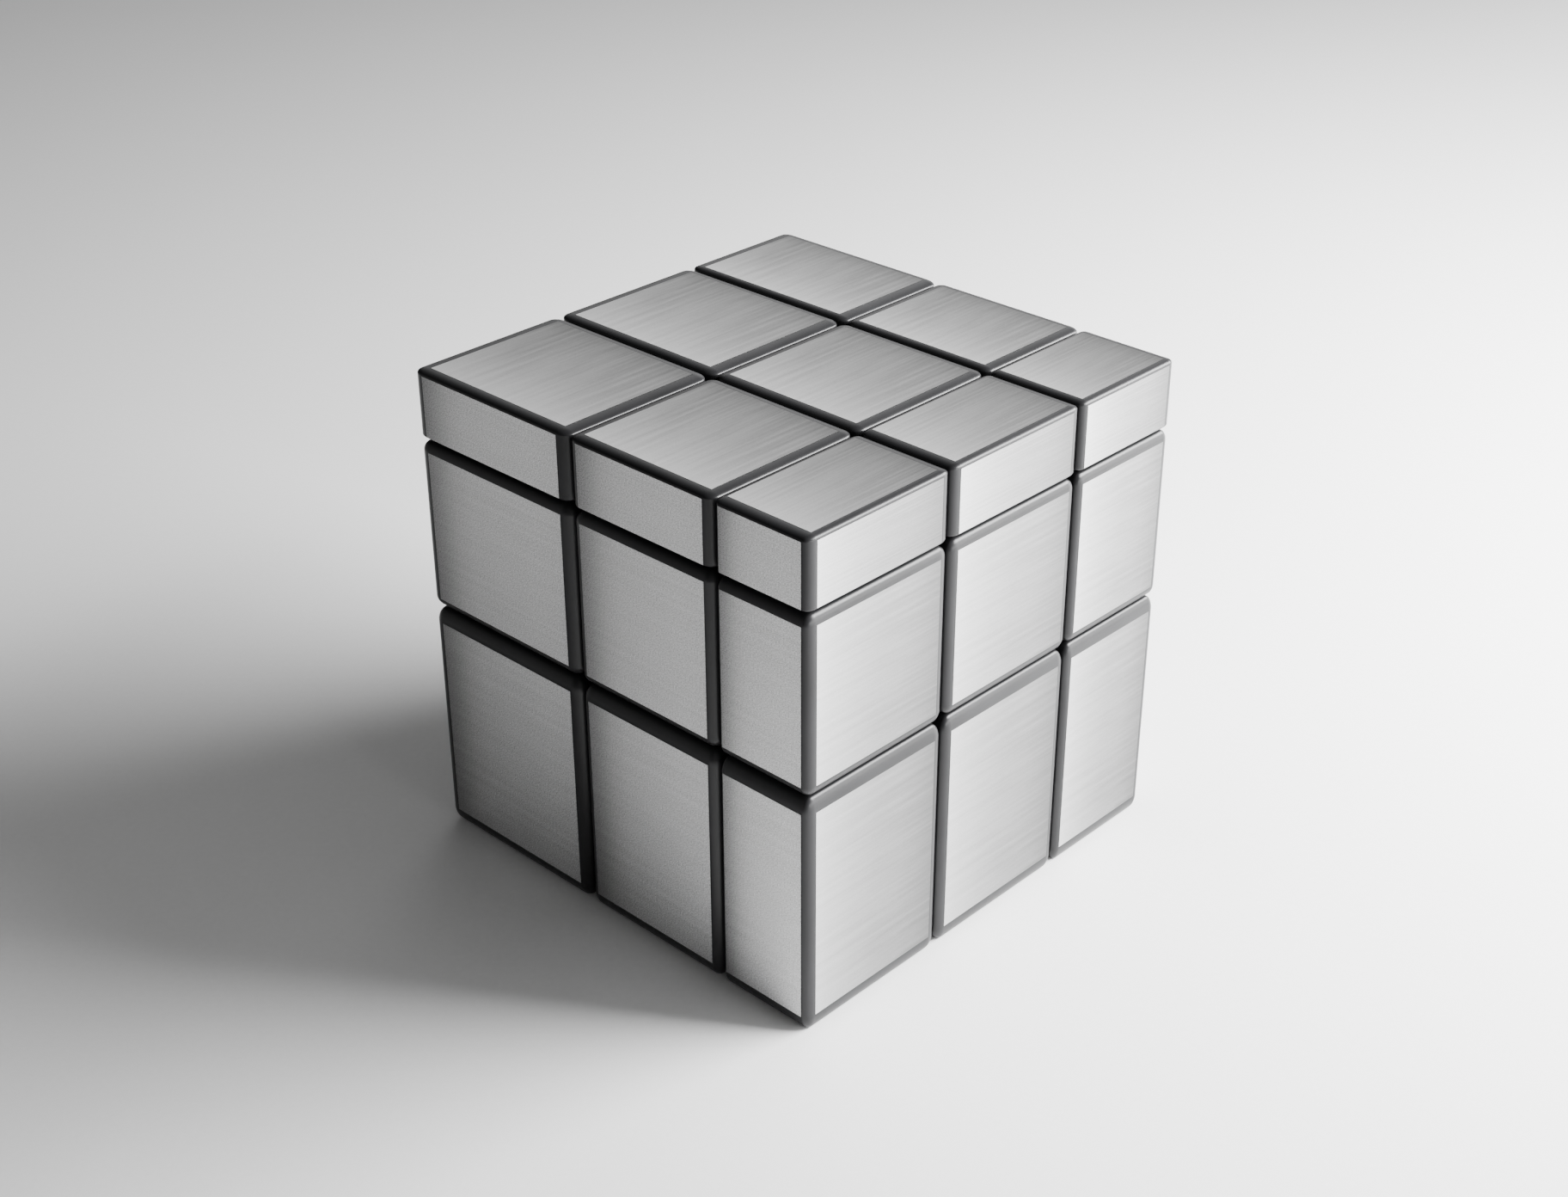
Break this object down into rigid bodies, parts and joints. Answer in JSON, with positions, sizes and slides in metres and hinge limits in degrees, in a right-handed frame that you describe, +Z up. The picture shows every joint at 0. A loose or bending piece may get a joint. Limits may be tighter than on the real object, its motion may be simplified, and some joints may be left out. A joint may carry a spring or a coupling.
{
  "type": "mirror block cube puzzle",
  "caption": "Face-turning 3 x 3 x 3 puzzle cube with layers of unequal thickness and brushed-metal plates on black blocks.",
  "frame": {"origin": "middle of the down face, on the surface that the puzzle stands on", "axes": "+Z up through the up face, +X out of the right face, -Y out of the front face"},
  "size_m": [0.057, 0.057, 0.057],
  "materials": {
    "black_plastic": "moulded black plastic, satin gloss",
    "core_plastic": "moulded dark plastic, matt",
    "steel": "bright machined steel",
    "brushed_plate": "thin silver plate with straight brushed grain"
  },
  "bodies": {
    "core_unit": {"core": "core_plastic", "screw_up": "steel", "spring_up": "steel", "washer_up": "steel", "screw_down": "steel", "spring_down": "steel", "washer_down": "steel", "screw_front": "steel", "spring_front": "steel", "washer_front": "steel", "screw_back": "steel", "spring_back": "steel", "washer_back": "steel", "screw_right": "steel", "spring_right": "steel", "washer_right": "steel", "screw_left": "steel", "spring_left": "steel", "washer_left": "steel"},
    "up_centre": {"centre_up": "black_plastic", "centre_cap_up": "black_plastic"},
    "down_centre": {"centre_down": "black_plastic", "centre_cap_down": "black_plastic"},
    "front_centre": {"centre_front": "black_plastic", "centre_cap_front": "black_plastic"},
    "back_centre": {"centre_back": "black_plastic", "centre_cap_back": "black_plastic"},
    "right_centre": {"centre_right": "black_plastic", "centre_cap_right": "black_plastic"},
    "left_centre": {"centre_left": "black_plastic", "centre_cap_left": "black_plastic"},
    "edge_up_front": {"edge_up_front": "black_plastic"},
    "edge_up_back": {"edge_up_back": "black_plastic"},
    "edge_up_right": {"edge_up_right": "black_plastic"},
    "edge_up_left": {"edge_up_left": "black_plastic"},
    "edge_down_front": {"edge_down_front": "black_plastic"},
    "edge_down_back": {"edge_down_back": "black_plastic"},
    "edge_down_right": {"edge_down_right": "black_plastic"},
    "edge_down_left": {"edge_down_left": "black_plastic"},
    "edge_front_right": {"edge_front_right": "black_plastic"},
    "edge_front_left": {"edge_front_left": "black_plastic"},
    "edge_back_right": {"edge_back_right": "black_plastic"},
    "edge_back_left": {"edge_back_left": "black_plastic"},
    "corner_up_front_right": {"corner_up_front_right": "black_plastic", "corner_foot_up_front_right": "black_plastic"},
    "corner_up_front_left": {"corner_up_front_left": "black_plastic", "corner_foot_up_front_left": "black_plastic"},
    "corner_up_back_right": {"corner_up_back_right": "black_plastic", "corner_foot_up_back_right": "black_plastic"},
    "corner_up_back_left": {"corner_up_back_left": "black_plastic", "corner_foot_up_back_left": "black_plastic"},
    "corner_down_front_right": {"corner_down_front_right": "black_plastic", "corner_foot_down_front_right": "black_plastic"},
    "corner_down_front_left": {"corner_down_front_left": "black_plastic", "corner_foot_down_front_left": "black_plastic"},
    "corner_down_back_right": {"corner_down_back_right": "black_plastic", "corner_foot_down_back_right": "black_plastic"},
    "corner_down_back_left": {"corner_down_back_left": "black_plastic", "corner_foot_down_back_left": "black_plastic"}
  },
  "joints": [
    {"name": "up_turn", "type": "hinge", "parent": "core_unit", "child": "up_centre", "pos_m": [0.006, 0.00205, 0.0387], "axis": [0, 0, 1], "continuous": true},
    {"name": "down_turn", "type": "hinge", "parent": "core_unit", "child": "down_centre", "pos_m": [0.006, 0.00205, 0.0387], "axis": [0, 0, -1], "continuous": true},
    {"name": "front_turn", "type": "hinge", "parent": "core_unit", "child": "front_centre", "pos_m": [0.006, 0.00205, 0.0387], "axis": [0, -1, 0], "continuous": true},
    {"name": "back_turn", "type": "hinge", "parent": "core_unit", "child": "back_centre", "pos_m": [0.006, 0.00205, 0.0387], "axis": [0, 1, 0], "continuous": true},
    {"name": "right_turn", "type": "hinge", "parent": "core_unit", "child": "right_centre", "pos_m": [0.006, 0.00205, 0.0387], "axis": [1, 0, 0], "continuous": true},
    {"name": "left_turn", "type": "hinge", "parent": "core_unit", "child": "left_centre", "pos_m": [0.006, 0.00205, 0.0387], "axis": [-1, 0, 0], "continuous": true},
    {"name": "edge_front_right_follows_front", "type": "hinge", "parent": "right_centre", "child": "edge_front_right", "pos_m": [0.006, 0.00205, 0.0387], "axis": [0, -1, 0], "continuous": true},
    {"name": "edge_back_right_follows_back", "type": "hinge", "parent": "right_centre", "child": "edge_back_right", "pos_m": [0.006, 0.00205, 0.0387], "axis": [0, 1, 0], "continuous": true},
    {"name": "edge_up_right_follows_right", "type": "hinge", "parent": "up_centre", "child": "edge_up_right", "pos_m": [0.006, 0.00205, 0.0387], "axis": [1, 0, 0], "continuous": true},
    {"name": "edge_down_right_follows_right", "type": "hinge", "parent": "down_centre", "child": "edge_down_right", "pos_m": [0.006, 0.00205, 0.0387], "axis": [1, 0, 0], "continuous": true},
    {"name": "edge_front_left_follows_front", "type": "hinge", "parent": "left_centre", "child": "edge_front_left", "pos_m": [0.006, 0.00205, 0.0387], "axis": [0, -1, 0], "continuous": true},
    {"name": "edge_back_left_follows_back", "type": "hinge", "parent": "left_centre", "child": "edge_back_left", "pos_m": [0.006, 0.00205, 0.0387], "axis": [0, 1, 0], "continuous": true},
    {"name": "edge_up_left_follows_left", "type": "hinge", "parent": "up_centre", "child": "edge_up_left", "pos_m": [0.006, 0.00205, 0.0387], "axis": [-1, 0, 0], "continuous": true},
    {"name": "edge_down_left_follows_left", "type": "hinge", "parent": "down_centre", "child": "edge_down_left", "pos_m": [0.006, 0.00205, 0.0387], "axis": [-1, 0, 0], "continuous": true},
    {"name": "edge_up_front_follows_up", "type": "hinge", "parent": "front_centre", "child": "edge_up_front", "pos_m": [0.006, 0.00205, 0.0387], "axis": [0, 0, 1], "continuous": true},
    {"name": "edge_down_front_follows_down", "type": "hinge", "parent": "front_centre", "child": "edge_down_front", "pos_m": [0.006, 0.00205, 0.0387], "axis": [0, 0, -1], "continuous": true},
    {"name": "edge_up_back_follows_up", "type": "hinge", "parent": "back_centre", "child": "edge_up_back", "pos_m": [0.006, 0.00205, 0.0387], "axis": [0, 0, 1], "continuous": true},
    {"name": "edge_down_back_follows_down", "type": "hinge", "parent": "back_centre", "child": "edge_down_back", "pos_m": [0.006, 0.00205, 0.0387], "axis": [0, 0, -1], "continuous": true},
    {"name": "corner_up_front_right_follows_up", "type": "hinge", "parent": "edge_front_right", "child": "corner_up_front_right", "pos_m": [0.006, 0.00205, 0.0387], "axis": [0, 0, 1], "continuous": true},
    {"name": "corner_down_front_right_follows_down", "type": "hinge", "parent": "edge_front_right", "child": "corner_down_front_right", "pos_m": [0.006, 0.00205, 0.0387], "axis": [0, 0, -1], "continuous": true},
    {"name": "corner_up_back_right_follows_up", "type": "hinge", "parent": "edge_back_right", "child": "corner_up_back_right", "pos_m": [0.006, 0.00205, 0.0387], "axis": [0, 0, 1], "continuous": true},
    {"name": "corner_down_back_right_follows_down", "type": "hinge", "parent": "edge_back_right", "child": "corner_down_back_right", "pos_m": [0.006, 0.00205, 0.0387], "axis": [0, 0, -1], "continuous": true},
    {"name": "corner_up_front_left_follows_up", "type": "hinge", "parent": "edge_front_left", "child": "corner_up_front_left", "pos_m": [0.006, 0.00205, 0.0387], "axis": [0, 0, 1], "continuous": true},
    {"name": "corner_down_front_left_follows_down", "type": "hinge", "parent": "edge_front_left", "child": "corner_down_front_left", "pos_m": [0.006, 0.00205, 0.0387], "axis": [0, 0, -1], "continuous": true},
    {"name": "corner_up_back_left_follows_up", "type": "hinge", "parent": "edge_back_left", "child": "corner_up_back_left", "pos_m": [0.006, 0.00205, 0.0387], "axis": [0, 0, 1], "continuous": true},
    {"name": "corner_down_back_left_follows_down", "type": "hinge", "parent": "edge_back_left", "child": "corner_down_back_left", "pos_m": [0.006, 0.00205, 0.0387], "axis": [0, 0, -1], "continuous": true}
  ],
  "couplings": [
    {"joint": "edge_front_right_follows_front", "follows": "front_turn", "ratio": 1},
    {"joint": "edge_back_right_follows_back", "follows": "back_turn", "ratio": 1},
    {"joint": "edge_up_right_follows_right", "follows": "right_turn", "ratio": 1},
    {"joint": "edge_down_right_follows_right", "follows": "right_turn", "ratio": 1},
    {"joint": "edge_front_left_follows_front", "follows": "front_turn", "ratio": 1},
    {"joint": "edge_back_left_follows_back", "follows": "back_turn", "ratio": 1},
    {"joint": "edge_up_left_follows_left", "follows": "left_turn", "ratio": 1},
    {"joint": "edge_down_left_follows_left", "follows": "left_turn", "ratio": 1},
    {"joint": "edge_up_front_follows_up", "follows": "up_turn", "ratio": 1},
    {"joint": "edge_down_front_follows_down", "follows": "down_turn", "ratio": 1},
    {"joint": "edge_up_back_follows_up", "follows": "up_turn", "ratio": 1},
    {"joint": "edge_down_back_follows_down", "follows": "down_turn", "ratio": 1},
    {"joint": "corner_up_front_right_follows_up", "follows": "up_turn", "ratio": 1},
    {"joint": "corner_down_front_right_follows_down", "follows": "down_turn", "ratio": 1},
    {"joint": "corner_up_back_right_follows_up", "follows": "up_turn", "ratio": 1},
    {"joint": "corner_down_back_right_follows_down", "follows": "down_turn", "ratio": 1},
    {"joint": "corner_up_front_left_follows_up", "follows": "up_turn", "ratio": 1},
    {"joint": "corner_down_front_left_follows_down", "follows": "down_turn", "ratio": 1},
    {"joint": "corner_up_back_left_follows_up", "follows": "up_turn", "ratio": 1},
    {"joint": "corner_down_back_left_follows_down", "follows": "down_turn", "ratio": 1}
  ]
}
